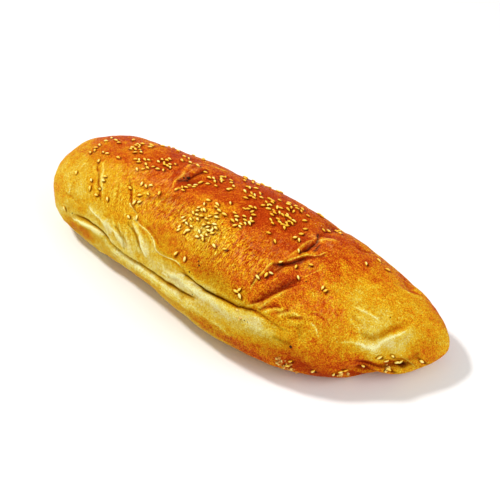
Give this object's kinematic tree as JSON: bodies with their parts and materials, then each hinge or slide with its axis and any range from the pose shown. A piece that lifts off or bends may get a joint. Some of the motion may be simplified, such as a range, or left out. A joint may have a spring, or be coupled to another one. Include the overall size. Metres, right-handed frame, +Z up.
{
  "type": "baguette",
  "caption": "Soft golden-brown bread loaf with a blunt end, a tapered tip, a split seam along one side, crust folds and scattered sesame seeds.",
  "frame": {"origin": "bottom centre of the bounding box, on the surface the loaf rests on", "axes": "+X along the loaf towards its tapered tip, +Z up, -Y towards the side with the split seam"},
  "size_m": [0.28, 0.103, 0.0691],
  "materials": {
    "crust": "baked golden-brown crust with pale seams and ivory-gold sesame seeds, softly glossy on the brown top"
  },
  "bodies": {
    "root": {"baguette": "crust"}
  },
  "joints": []
}
